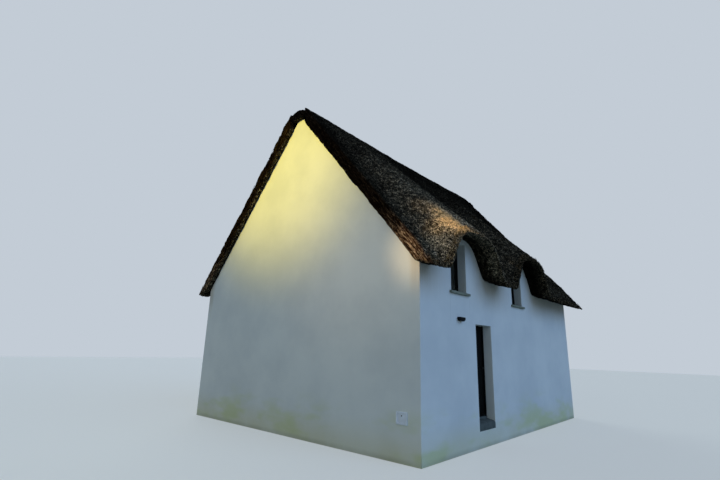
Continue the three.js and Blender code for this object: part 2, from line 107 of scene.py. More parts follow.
def linear(hex_colour):
    """An sRGB hex colour as the linear colour that a shader takes."""
    channels = [int(hex_colour[i:i + 2], 16) / 255 for i in (1, 3, 5)]
    return [c / 12.92 if c <= 0.04045 else ((c + 0.055) / 1.055) ** 2.4 for c in channels] + [1.0]


SMOOTH = {"interpolation_type": "SMOOTHSTEP"}
MULTIPLY = {"operation": "MULTIPLY"}
COLOURS = {"data_type": "RGBA"}


def add_node(tree, kind, inputs=(), out=0, **settings):
    """Adds a shader node and returns one output, or all of them where out is None. Inputs go to the
    node's sockets in order or by name, and are values or the outputs that feed them."""
    node = tree.nodes.new("ShaderNode" + kind)
    for name, value in settings.items():
        setattr(node, name, value)
    sockets = [socket for socket in node.inputs if socket.enabled]
    pairs = inputs.items() if isinstance(inputs, dict) else enumerate(inputs)
    for key, value in pairs:
        socket = node.inputs[key] if isinstance(key, str) else sockets[key]
        if isinstance(value, bpy.types.NodeSocket):
            tree.links.new(value, socket)
        else:
            socket.default_value = value
    outputs = [socket for socket in node.outputs if socket.enabled]
    if out is None:
        return outputs
    return node.outputs[out] if isinstance(out, str) else outputs[out]


def new_material(name, **values):
    """A material with its Principled shader. Values are that shader's own sockets."""
    material = bpy.data.materials.new(name)
    material.use_nodes = True
    shader = material.node_tree.nodes["Principled BSDF"]
    for socket, value in values.items():
        shader.inputs[socket.replace("_", " ")].default_value = value
    return material, material.node_tree, shader


def clumps(tree, place, size, detail=3.0, roughness=0.55):
    """Soft clumps of a real size in metres. Three sizes draw them out along the axes."""
    sizes = size if isinstance(size, tuple) else (size, size, size)
    scaled = add_node(tree, "Mapping", {"Vector": place, "Scale": [1 / length for length in sizes]})
    ports = {"Vector": scaled, "Scale": 1.0, "Detail": detail, "Roughness": roughness}
    return add_node(tree, "TexNoise", ports)


# A reed is 5 mm thick and its end stands 15 mm proud: both are drawn over twice as coarse, so
# that single ends show
REED_END = (0.012, 0.012, 0.032)
REED_STREAK = (0.024, 0.011, 0.24)
REED_BUNDLE = 0.05
REED_HANDFUL = 0.085
REED_PATCH = 0.6
REED_SWAY = 0.05
SWAY_SIZE = 0.09
REED_PROUD = 0.02
# The dark bed between the reeds, the reeds and the pale ends that stand out of them
WEATHERED_REED = ("#070605", "#3E372A", "#E0CCAA")
CUT_REED = ("#0A0604", "#4A3224", "#CCAE8A")
# A patch on the near crown's flank is drawn pale gold: sun-bleached reed with painted sunlight in it
BLEACHED_AND_SUNLIT_REED = "#E6C088"
BLEACHED_SUNLIT_PLACE = (-3.5, -3.95, 4.65)
BLEACHED_SUNLIT_REACH = (0.4, 0.8, 0.8)
BLEACHING_AND_SUNLIGHT = 0.7
MOSS = "#3C4020"
# How much of the bed is covered by reeds on the back slope, drawn evenly without the front's
# painted light and shade, and how much the brow of the lip is brightened as a painted highlight
BACK_SHARE = 0.75
BROW_HIGHLIGHT = 0.3


def weathered_reed():
    """Weathered water reed, laid with its ends outwards: a dark matt bed with pale ends caught in
    it. At the front the lip and the near end are drawn brightest and the reed darker towards the
    ridge, as painted light and shade. The verges are cut along the stalks, so they show
    reddish streaks."""
    material, tree, shader = new_material("weathered_water_reed", Roughness=0.93, Specular_IOR_Level=0.0)
    place = add_node(tree, "TexCoord", out="Object")
    x, y, z = add_node(tree, "SeparateXYZ", [place], out=None)
    out = add_node(tree, "Math", [y], operation="ABSOLUTE")
    folded = add_node(tree, "CombineXYZ", [x, out, z])
    turn = {"Vector": folded, "Angle": PITCH - math.pi / 2}
    slope = add_node(tree, "VectorRotate", turn, rotation_type="X_AXIS")
    sway = add_node(tree, "TexNoise", {"Vector": place, "Scale": 1 / SWAY_SIZE, "Detail": 1.0}, out="Color")
    swayed = add_node(tree, "VectorMath", [sway, [REED_SWAY] * 3, slope], operation="MULTIPLY_ADD")
    cut, soffit, brow_highlight = [add_node(tree, "Attribute", out="Fac", attribute_name=name)
                         for name in ("cut_face", "soffit", "brow_highlight")]
    ends = clumps(tree, swayed, REED_END, 2.0, 0.6)
    streaks = clumps(tree, slope, REED_STREAK, 3.0, 0.65)
    patches = clumps(tree, place, REED_PATCH, 4.0, 0.6)
    handfuls = clumps(tree, swayed, REED_HANDFUL, 2.0, 0.6)
    bundles = add_node(tree, "TexVoronoi", {"Vector": swayed, "Scale": 1 / REED_BUNDLE}, out="Color")
    tone = add_node(tree, "SeparateColor", [bundles])
    grain = add_node(tree, "Mix", [cut, ends, streaks])
    ports = {"Vector": place, "Location": BLEACHED_SUNLIT_PLACE, "Scale": BLEACHED_SUNLIT_REACH}
    about = add_node(tree, "Mapping", ports, vector_type="TEXTURE")
    apart = add_node(tree, "VectorMath", [about], operation="LENGTH")

    # At the front the reed's share is painted light and shade: highest at the lip towards the near end,
    # lower up the slope, beside the near verge, past the first arch and at the far end
    spans = [(out, 1.2, 3.6, 0.2, 0.75), (out, 3.4, 4.25), (x, -2.1, -1.0, 2.5, 0.85),
             (x, -4.45, -3.7, 0.3, 1.0), (x, -2.1, -1.0, 1.0, 0.36), (x, 2.8, 3.9, 1.0, 0.55),
             (y, -0.6, 1.2), (patches, 0.3, 0.7, 0.6, 1.3), (handfuls, 0.36, 0.64, 0.3, 1.7),
             (z, 3.9, 4.9, 1.55, 0.08), (soffit, 0.0, 1.0, 1.0, 0.12)]
    (up_slope, near_lip, lip, near_end, past_first_arch, far_end, at_back, patchy, mottled, cut_share,
     painted_soffit_shade) = [add_node(tree, "MapRange", span, **SMOOTH) for span in spans]
    share_with_painted_light = add_node(tree, "Mix", [near_lip, up_slope, lip])
    for factor in (near_end, past_first_arch, far_end):
        share_with_painted_light = add_node(tree, "Math", [share_with_painted_light, factor], **MULTIPLY)
    share_with_painted_light = add_node(tree, "Mix", [at_back, share_with_painted_light, BACK_SHARE])
    for factor in (patchy, mottled):
        share_with_painted_light = add_node(tree, "Math", [share_with_painted_light, factor], **MULTIPLY)
    # The brow of the lip is brightened as a painted highlight
    painted_brow_highlight = add_node(tree, "Math", [brow_highlight, BROW_HIGHLIGHT], **MULTIPLY)
    share_with_painted_light = add_node(tree, "Mix", [painted_brow_highlight, share_with_painted_light, 1.0])
    share_with_painted_light = add_node(tree, "Mix", [cut, share_with_painted_light, cut_share])
    # Deep in the soffit the reed is darkened as painted shade
    share_with_painted_light = add_node(tree, "Math", [share_with_painted_light, painted_soffit_shade], **MULTIPLY)

    spans = [(apart, 0.3, 1.0, 1.0, 0.0), (patches, 0.52, 0.7), (z, 6.8, 8.3, 0.15, 0.8),
             (grain, 0.42, 0.60), (grain, 0.53, 0.64), (tone, 0.0, 0.8, 0.3, 1.0), (grain, 0.42, 0.56)]
    bleached_and_sunlit, mossy, mossy_height, stalks, tips, toned, bleached_sunlit_tips = [
        add_node(tree, "MapRange", span, **SMOOTH) for span in spans]
    bed, stalk, tip = [add_node(tree, "Mix", [cut, linear(weathered), linear(fresh)], **COLOURS)
                       for weathered, fresh in zip(WEATHERED_REED, CUT_REED)]
    # The patch's pale gold tips are bleached reed and painted sunlight
    tip = add_node(tree, "Mix", [bleached_and_sunlit, tip, linear(BLEACHED_AND_SUNLIT_REED)], **COLOURS)
    moss = add_node(tree, "Math", [mossy, mossy_height], **MULTIPLY)
    stalk = add_node(tree, "Mix", [moss, stalk, linear(MOSS)], **COLOURS)
    stalks = add_node(tree, "Math", [stalks, share_with_painted_light], **MULTIPLY)
    colour = add_node(tree, "Mix", [stalks, bed, stalk], **COLOURS)
    tips = add_node(tree, "Math", [tips, toned], **MULTIPLY)
    bleached_and_sunlit = add_node(tree, "Math", [bleached_and_sunlit, BLEACHING_AND_SUNLIGHT], **MULTIPLY)
    tips = add_node(tree, "Mix", [bleached_and_sunlit, tips, bleached_sunlit_tips])
    tips = add_node(tree, "Math", [tips, share_with_painted_light], **MULTIPLY)
    colour = add_node(tree, "Mix", [tips, colour, tip], **COLOURS)
    tree.links.new(colour, shader.inputs["Base Color"])
    bump = add_node(tree, "Bump", {"Height": grain, "Distance": REED_PROUD, "Strength": 0.9})
    tree.links.new(bump, shader.inputs["Normal"])
    return material


# The render's marks of weather, in metres above the foot of the walls or beside the windows
ALGAE_TOP = 1.15
DAMP_TOP = 0.75
SPLASH_TOP = 0.12
# Below the eaves the wall is drawn brown: a stain with painted shade in it
EAVE_STAIN_AND_SHADE = (2.75, 3.5)
ON_LONG_WALL = (FACE_Y - 0.3, FACE_Y - 0.1)
CLEAR_BESIDE_WINDOW = (0.35, 1.1)
SILL_RUN = 1.1
SILL_RUN_WIDTH = 0.09
RENDER_CLOUD = 1.3
STAIN_DRIFT = (1.5, 1.5, 0.55)
WASHED_STREAK = (0.05, 0.05, 0.9)
# The waves that the float leaves, and the grains of sand, drawn 12 mm wide so that they show
FLOAT_WAVE = 0.35
FLOAT_WAVE_DEPTH = 0.006
SAND_GRAIN = 0.012
SAND_DEPTH = 0.0015


def float_finish():
    """Masonry render floated by hand and painted white: matt, faintly clouded, with algae at its
    foot, a brown stain and painted shade below the drooping eaves and dirt washed down from the sills."""
    material, tree, shader = new_material("floated_masonry_render", Roughness=0.9, Specular_IOR_Level=0.2)
    place = add_node(tree, "TexCoord", out="Object")
    x, y, z = add_node(tree, "SeparateXYZ", [place], out=None)
    out = add_node(tree, "Math", [y], operation="ABSOLUTE")
    cloud = clumps(tree, place, RENDER_CLOUD, 4.0)
    drifts = clumps(tree, place, STAIN_DRIFT)
    wash = clumps(tree, place, WASHED_STREAK, 4.0, 0.6)

    sill_low, sill_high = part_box("front_window_1_sill")
    sill_foot = sill_low.z
    sill_half = (sill_high.x - sill_low.x) / 2
    # A stain is a product of spans: what each is read from, where it starts and ends, and its
    # values there if not 0 and 1
    # The brown band under the eaves is stain and painted shade
    eave_stain_and_shade = [(z, *EAVE_STAIN_AND_SHADE), (out, *ON_LONG_WALL), (wash, 0.2, 0.75, 0.28, 0.42)]
    sill_runs = []
    for centre in WINDOW_CENTRES:
        offset = add_node(tree, "Math", [x, centre], operation="SUBTRACT")
        beside = add_node(tree, "Math", [offset], operation="ABSOLUTE")
        eave_stain_and_shade.append((beside, *CLEAR_BESIDE_WINDOW, 0.4, 1.0))
        past_end = add_node(tree, "Math", [beside, sill_half], operation="SUBTRACT")
        off_end = add_node(tree, "Math", [past_end], operation="ABSOLUTE")
        sill_runs.append([(off_end, 0.0, SILL_RUN_WIDTH, 1.0, 0.0), (wash, 0.45, 0.7, 0.0, 0.2),
                          (z, sill_foot - SILL_RUN, sill_foot), (z, sill_foot, sill_foot + 0.02, 1.0, 0.0)])
    damp = [(z, 0.05, DAMP_TOP, 0.6, 0.0), (cloud, 0.3, 0.7, 0.6, 1.0)]
    algae = [(z, 0.2, ALGAE_TOP, 1.0, 0.0), (drifts, 0.46, 0.66, 0.0, 0.65)]
    splash = [(z, 0.02, SPLASH_TOP, 1.0, 0.0), (cloud, 0.3, 0.7, 0.2, 0.45)]
    stains = [(damp, "#DFD7A8"), (algae, "#CFD498"), (splash, "#A5A287"), (eave_stain_and_shade, "#B49C76")]
    stains += [(run, "#A9ABA0") for run in sill_runs]
    clouded = add_node(tree, "MapRange", [cloud, 0.3, 0.7], **SMOOTH)
    colour = add_node(tree, "Mix", [clouded, linear("#E9EAE5"), linear("#DCDEDB")], **COLOURS)
    for spans, stain in stains:
        amount = 1.0
        for span in spans:
            faded = add_node(tree, "MapRange", span, **SMOOTH)
            amount = add_node(tree, "Math", [amount, faded], **MULTIPLY)
        colour = add_node(tree, "Mix", [amount, colour, linear(stain)], **COLOURS)
    tree.links.new(colour, shader.inputs["Base Color"])

    waves = {"Height": clumps(tree, place, FLOAT_WAVE, 2.0), "Distance": FLOAT_WAVE_DEPTH, "Strength": 0.6}
    sand = {"Height": clumps(tree, place, SAND_GRAIN, 3.0, 0.7), "Distance": SAND_DEPTH, "Strength": 0.6}
    sand["Normal"] = add_node(tree, "Bump", waves)
    tree.links.new(add_node(tree, "Bump", sand), shader.inputs["Normal"])
    return material


# The other finishes: the size of their worn patches, and the depth of their grain
WORN_PATCH = 0.12
GRAIN_DEPTH = 0.0004


def plain_finish(name, colour, roughness, metal=0.0, grain=0.004, worn=None, specular=0.5):
    """A coated or cast surface, with a little unevenness of tone if it is worn. Most of these
    grains are too fine to show, so they are drawn one to ten millimetres wide."""
    material, tree, shader = new_material(name, Base_Color=linear(colour), Roughness=roughness,
                                          Metallic=metal, Specular_IOR_Level=specular)
    place = add_node(tree, "TexCoord", out="Object")
    if worn:
        cloud = clumps(tree, place, WORN_PATCH, 4.0)
        tone = add_node(tree, "MapRange", [cloud, 0.3, 0.7], **SMOOTH)
        blended = add_node(tree, "Mix", [tone, linear(colour), linear(worn)], **COLOURS)
        tree.links.new(blended, shader.inputs["Base Color"])
    ports = {"Height": clumps(tree, place, grain, 2.0), "Distance": GRAIN_DEPTH, "Strength": 0.5}
    tree.links.new(add_node(tree, "Bump", ports), shader.inputs["Normal"])
    return material


REED = weathered_reed()
RENDER = float_finish()
# Float glass in a sealed double pane: clear, smooth and faintly green
GLASS = new_material("float_glass", Base_Color=linear("#CFDCD8"), Roughness=0.02, IOR=1.45,
                     Transmission_Weight=1.0)[0]
# Polyester powder, sprayed on and baked: near black, even and almost matt
JOINERY = plain_finish("powder_coated_aluminium", "#030304", 0.5, grain=0.003, specular=0.05)
# Slate sawn and rubbed smooth: grey-green, dull, with darker patches where it stays damp
SLATE = plain_finish("honed_slate", "#8C8E7C", 0.6, grain=0.006, worn="#787A6A", specular=0.3)
# Sandstone left as the saw left it: grey, dull and damp in patches
STONE = plain_finish("sawn_step_stone", "#5C625E", 0.8, grain=0.005, worn="#4E544F", specular=0.25)
# Steel drawn near black as painted shade: a dark metal with a blurred shine
STEEL = plain_finish("steel_in_painted_shade", "#1C1D1F", 0.42, metal=1.0, grain=0.002)
# Paint with fine grit in it: black, and it breaks the light up
LAMP = plain_finish("black_textured_paint", "#070B0E", 0.5, grain=0.002, specular=0.1)
# Sandblasted glass: pale and cloudy, so that it hides the lamp inside
LENS = plain_finish("frosted_lamp_glass", "#AEB4B6", 0.45, grain=0.001, worn="#A2A8AA")
# Moulded glass-filled polyester: white, weathered to a low sheen
COVER = plain_finish("moulded_meter_plastic", "#F0F4FB", 0.5, grain=0.002, worn="#E6EAF0")
# Screed smoothed with a steel float: warm grey and matt
SCREED = plain_finish("smoothed_screed", "#9C968C", 0.85, grain=0.01)
# Softwood as it comes off the saw: furry, with darker patches
TIMBER = plain_finish("sawn_softwood", "#8A6B48", 0.8, grain=0.01, worn="#7A5C3C")


def finish_piece(mesh, name, materials, body, replaced=(), crease=None):
    """Turns a bmesh into a named piece that rides on its body. Where a crease is given, in degrees,
    the piece is shaded smooth apart from its sharper edges."""
    data = bpy.data.meshes.new(name)
    mesh.to_mesh(data)
    mesh.free()
    for material in materials:
        data.materials.append(material)
    if crease:
        data.shade_smooth()
        data.set_sharp_from_angle(angle=math.radians(crease))
    piece = bpy.data.objects.new(name, data)
    bpy.context.scene.collection.objects.link(piece)
    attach(piece, body)
    if replaced:
        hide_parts(*replaced)
    return piece


def bell(distance, half_width, sharpness):
    """A bell-shaped rise, from 0 at its half width to 1 in the middle."""
    part = min(abs(distance) / half_width, 1)
    return 0.5 + 0.5 * math.cos(math.pi * part ** sharpness)


def bells(x, half_width, sharpness):
    """The rise over both windows of one wall."""
    return sum(bell(x - centre, half_width, sharpness) for centre in WINDOW_CENTRES)


def blend(pair, amount):
    """The value between two, at a share of the way."""
    return pair[0] + (pair[1] - pair[0]) * amount


def drawn_in(x, inward):
    """Where a place outside the wall really lies, once the near gable's corner is rounded in plan."""
    corner = min(max((-x - VERGE_X + CORNER_LENGTH) / CORNER_LENGTH, 0), 1)
    return inward * (1 - CORNER_DRAW * corner ** 2) if inward < 0 else inward


def underside(x, inward):
    """Height of the thatch's underside, inward metres behind the wall's outer face."""
    outside = min(max(-inward / EAVE_OVERHANG, 0), 1)
    arch = blend(ARCH_RISE, outside) * bells(x, blend(ARCH_HALF_WIDTH, outside), ARCH_SHARPNESS)
    soffit = SOFFIT_HEIGHT + SOFFIT_FALL * min(drawn_in(x, inward), 0) + arch
    return min(max(soffit, SOFFIT_HEIGHT + SLOPE * inward), RIDGE_UNDERSIDE)


def dip(x, inward):
    """How far the weathered face has sunk, most in the middle of the ridge."""
    return RIDGE_DIP * math.cos(math.pi / 2 * x / VERGE_X) * min(max(inward / FACE_Y, 0), 1)


def weather_face(x, inward):
    """Height of the weathered face, with its lip rounded down to the eave's edge."""
    travel = min(max((inward + EAVE_OVERHANG) / (CROWN_REACH + EAVE_OVERHANG), 0), 1)
    crown = bells(x, CROWN_HALF_WIDTH, blend(CROWN_SHARPNESS, travel))
    face = SOFFIT_HEIGHT + THATCH_RISE + SLOPE * inward + CROWN_RISE * (1 - travel) * crown
    far_corner = min(max((x - FAR_CORNER_START) / FAR_CORNER_LENGTH, 0), 1)
    fullness = bell(inward - FULLEST_INWARD, FULLNESS_HALF, FULLNESS_SHARPNESS)
    face += FAR_FULLNESS * far_corner * fullness - dip(x, inward)
    turn = min(max((inward + EAVE_OVERHANG) / LIP_ROUNDING, 0), 1)
    lip = underside(x, inward) + LIP_THICKNESS
    return blend((lip, face), math.sqrt(1 - (1 - turn) ** 2))


# How the slopes and the saddle over the ridge are meshed. A slope's rows come closer together
# over its lip, which starts at a share of the way down
THATCH_COLUMNS = 300
SLOPE_ROWS = 146
SLOPE_CAP_ROWS = 9
SLOPE_LIP_FROM = 0.88
SLOPE_TOP_SHORT = 0.30
VERGE_ROUNDING = 0.05
RIDGE_ROWS = 44
RIDGE_CAP_ROWS = 4
RIDGE_ROUNDING = 0.02
# Over what depth the painted shade of the soffit deepens behind the lip and beside the verge, and
# how broad the lip's brow is, where a painted highlight lies
SOFFIT_SHADE = 0.34
VERGE_SHADE = 0.20
BROW_WIDTH = 0.12


def lofted_thatch(rows, cap_rows, rounding, top, bottom, eaves=True):
    """A closed body of thatch. Each column is a section at one x: rows run down its top face and
    back up its underside. At both verges the section closes on its own middle line, which
    makes the cut face, with its outer edge rounded. Values on the vertices tell the finish where
    the reed is cut, how deep in the soffit it lies, which sets the soffit's painted shade, and how
    near to the lip's edge, which sets the brow's painted highlight."""
    across = THATCH_COLUMNS + 2 * cap_rows
    along = 2 * rows
    mesh = bmesh.new()
    bmesh.ops.create_grid(mesh, x_segments=across, y_segments=along, size=0.5)
    cut = mesh.verts.layers.float.new("cut_face")
    soffit = mesh.verts.layers.float.new("soffit")
    brow_highlight = mesh.verts.layers.float.new("brow_highlight")
    for vertex in mesh.verts:
        column = round((vertex.co.x + 0.5) * across)
        row = round((vertex.co.y + 0.5) * along) % along
        step = min(max(column - cap_rows, 0), THATCH_COLUMNS)
        x = VERGE_X * (2 * step / THATCH_COLUMNS - 1)
        under = row >= rows
        t = (along - 1 - row if under else row) / (rows - 1)
        upper, lower = top(x, t), bottom(x, t)
        point = lower if under else upper
        closed = max(cap_rows - column, column - cap_rows - THATCH_COLUMNS, 0) / cap_rows
        middle = [(a + b) / 2 for a, b in zip(upper, lower)]
        y, z = (blend(pair, closed) for pair in zip(point, middle))
        sunk = math.dist((y, z), point)
        turn = 1 - min(sunk / rounding, 1)
        x -= math.copysign(rounding * (1 - math.sqrt(1 - turn ** 2)), x)
        vertex.co = (x, y, z)
        vertex[cut] = min(sunk / rounding, 1) if closed else 0.0
        thickness = math.dist(upper, lower) - LIP_THICKNESS
        behind_lip = (abs(y) - FACE_Y - EAVE_OVERHANG) / -SOFFIT_SHADE
        beside_verge = (VERGE_X - abs(x)) / VERGE_SHADE
        vertex[soffit] = min(behind_lip, beside_verge, 1) if under and not closed else 0.0
        vertex[brow_highlight] = 0.0 if closed or not eaves else max(1 - thickness / BROW_WIDTH, 0)
    for face in mesh.faces:
        face.smooth = True
    bmesh.ops.remove_doubles(mesh, verts=mesh.verts, dist=WELD)
    bmesh.ops.recalc_face_normals(mesh, faces=mesh.faces)
    return mesh


# The thatch's unevenness, from settled courses down to single bundles: a size and a height of each
LUMPS = [(0.5, 0.025), (0.11, 0.02), (0.03, 0.012)]


def lumpiness(place):
    """How far the thatch stands proud of its smooth form at a place."""
    return sum(height * noise.noise(place / size) for size, height in LUMPS)


def roughen(mesh):
    """Pushes each vertex of the thatch along its normal."""
    mesh.normal_update()
    moves = [(vertex, vertex.normal * lumpiness(vertex.co)) for vertex in mesh.verts]
    for vertex, move in moves:
        vertex.co += move


def add_slope(side, facing):
    """One slope of the roof, from the ridge down round the lip and back under the soffit."""
    reach = FACE_Y - SLOPE_TOP_SHORT

    def station(t):
        """Distance behind the wall's face at a share of the way from the ridge to the lip's edge."""
        if t < SLOPE_LIP_FROM:
            return blend((reach, -EAVE_OVERHANG + LIP_ROUNDING), t / SLOPE_LIP_FROM)
        turn = (t - SLOPE_LIP_FROM) / (1 - SLOPE_LIP_FROM) * math.pi / 2
        return -EAVE_OVERHANG + LIP_ROUNDING * (1 - math.sin(turn))

    def top(x, t):
        inward = station(t)
        return facing * (FACE_Y - drawn_in(x, inward)), weather_face(x, inward)

    def bottom(x, t):
        inward = station(t)
        return facing * (FACE_Y - drawn_in(x, inward)), underside(x, inward)

    mesh = lofted_thatch(SLOPE_ROWS, SLOPE_CAP_ROWS, VERGE_ROUNDING, top, bottom)
    roughen(mesh)
    node = f"thatch_{side}_slope"
    return finish_piece(mesh, f"reed_{side}_slope", [REED], ROOT, [node])


RIDGE_HALF = 0.62
RIDGE_PROUD = 0.035
RIDGE_THICKNESS = 0.06


def add_ridge():
    """The saddle of reed wrapped over the ridge, a little proud of the slopes."""
    def top(x, t):
        y = blend((-RIDGE_HALF, RIDGE_HALF), t)
        sunk = dip(x, FACE_Y - abs(y))
        if abs(y) < RIDGE_TANGENT:
            return y, RIDGE_CENTRE + math.sqrt(RIDGE_RADIUS ** 2 - y ** 2) - sunk
        return y, PEAK - SLOPE * abs(y) + RIDGE_PROUD - sunk

    def bottom(x, t):
        y = blend((-RIDGE_HALF, RIDGE_HALF), t)
        return y, min(top(x, t)[1] - RIDGE_THICKNESS, RIDGE_UNDERSIDE)

    mesh = lofted_thatch(RIDGE_ROWS, RIDGE_CAP_ROWS, RIDGE_ROUNDING, top, bottom, eaves=False)
    roughen(mesh)
    return finish_piece(mesh, "reed_ridge", [REED], ROOT, ["thatch_ridge"])


# The loose reed ends along the lips and verges. They are drawn twice as thick as a real reed, and
# stand out of the thatch by up to LOOSE_REACH
LOOSE_RADIUS = 0.005
LOOSE_TAPER = 0.7
LOOSE_LENGTH = 0.16
LOOSE_REACH = 0.03
LOOSE_LEAN = 0.14
LOOSE_TURN = 2
REEDS_IN_SHEAF = 16
SHEAF_HALF = (0.028, 0.016)
SHEAF_TURN = 0.4
SHEAF_SPACING = 0.042
SHEAF_KINDS = 6
SHEAVES_ON_VERGE = 260
VERGE_SPLAY = 0.22
# How far the verge's reeds start above its foot and are sunk in it, and which shares of its
# thickness they stand between
VERGE_FOOT_CLEAR = 0.06
VERGE_SUNK = 0.01
VERGE_BAND = (0.12, 0.88)


def loose_sheaf(chance, layer):
    """A handful of reeds with their cut ends about the origin, pointing down, at uneven lengths."""
    mesh = bmesh.new()
    mark = mesh.verts.layers.float.new(layer)
    for _ in range(REEDS_IN_SHEAF):
        across = [chance.uniform(-half, half) for half in SHEAF_HALF]
        lean = Euler((chance.gauss(0, LOOSE_LEAN), chance.gauss(0, LOOSE_LEAN),
                      chance.uniform(0, LOOSE_TURN)))
        out = chance.uniform(0, LOOSE_REACH)
        place = Matrix.Translation((*across, 0)) @ lean.to_matrix().to_4x4()
        place = place @ Matrix.Translation((0, 0, LOOSE_LENGTH / 2 - out))
        bmesh.ops.create_cone(mesh, cap_ends=True, segments=3, radius1=LOOSE_RADIUS,
                              radius2=LOOSE_RADIUS * LOOSE_TAPER, depth=LOOSE_LENGTH, matrix=place)
    for vertex in mesh.verts:
        vertex[mark] = 1.0
    data = bpy.data.meshes.new("loose_sheaf")
    mesh.to_mesh(data)
    mesh.free()
    return data


def add_loose_reeds(name, stands, layer):
    """Sheaves joined as one piece. Each stand is the place of a sheaf and the way its reeds point."""
    chance = random.Random(name)
    kinds = [loose_sheaf(chance, layer) for _ in range(SHEAF_KINDS)]
    mesh = bmesh.new()
    for place, pointing in stands:
        turn = pointing.to_track_quat("-Z", "Y").to_matrix().to_4x4()
        spin = Matrix.Rotation(chance.uniform(-SHEAF_TURN, SHEAF_TURN), 4, "Z")
        sheaf = chance.choice(kinds).copy()
        sheaf.transform(Matrix.Translation(place + pointing * lumpiness(place)) @ turn @ spin)
        mesh.from_mesh(sheaf)
        bpy.data.meshes.remove(sheaf)
    return finish_piece(mesh, name, [REED], ROOT)


def add_lip_reeds(side, facing):
    """Reed ends along the lip of one slope, over its arches too."""
    count = round(2 * VERGE_X / SHEAF_SPACING)
    stands = []
    for step in range(1, count):
        x = VERGE_X * (2 * step / count - 1)
        y = facing * (FACE_Y - drawn_in(x, -EAVE_OVERHANG))
        place = Vector((x, y, underside(x, -EAVE_OVERHANG) + LIP_THICKNESS / 2))
        stands.append((place, Vector((0, facing * math.cos(PITCH), -math.sin(PITCH)))))
    # The lip's loose reeds carry the brow mark, so they take its painted highlight
    return add_loose_reeds(f"reed_lip_{side}", stands, "brow_highlight")


def add_verge_reeds(side, facing, end, end_name):
    """Reed ends over the cut face of one verge, splayed outwards from it."""
    chance = random.Random(f"{side} {end_name}")
    down = Vector((0, facing * math.cos(PITCH), -math.sin(PITCH)))
    pointing = (down + Vector((end * VERGE_SPLAY, 0, 0))).normalized()
    stands = []
    for step in range(SHEAVES_ON_VERGE):
        travel = (-EAVE_OVERHANG + VERGE_FOOT_CLEAR, FACE_Y - RIDGE_HALF)
        inward = blend(travel, step / SHEAVES_ON_VERGE)
        x = end * VERGE_X
        low, high = underside(x, inward), weather_face(x, inward)
        z = blend((low, high), chance.uniform(*VERGE_BAND))
        place = Vector((x - end * VERGE_SUNK, facing * (FACE_Y - drawn_in(x, inward)), z))
        stands.append((place, pointing))
    return add_loose_reeds(f"reed_verge_{side}_{end_name}", stands, "cut_face")


WALL_NODES = ["near_gable_wall", "far_gable_wall", "front_wall_near_end", "front_wall_over_door",
              "front_wall_below_door", "front_wall_far_end", "back_wall_near_end", "back_wall_far_end"]
WALL_ARRIS = 0.008
# The walls' tops follow each arch in this many steps on each side of its middle, and a step too
# close to a jamb is left out
ARCH_CUTS = 12
CUTS_APART = 0.02


def cut_planes(mesh, axis, places):
    """Cuts the whole mesh square to an axis at each place."""
    normal = [0, 0, 0]
    normal[axis] = 1
    for place in places:
        point = [0, 0, 0]
        point[axis] = place
        geometry = mesh.verts[:] + mesh.edges[:] + mesh.faces[:]
        bmesh.ops.bisect_plane(mesh, geom=geometry, plane_co=point, plane_no=normal, dist=WELD)


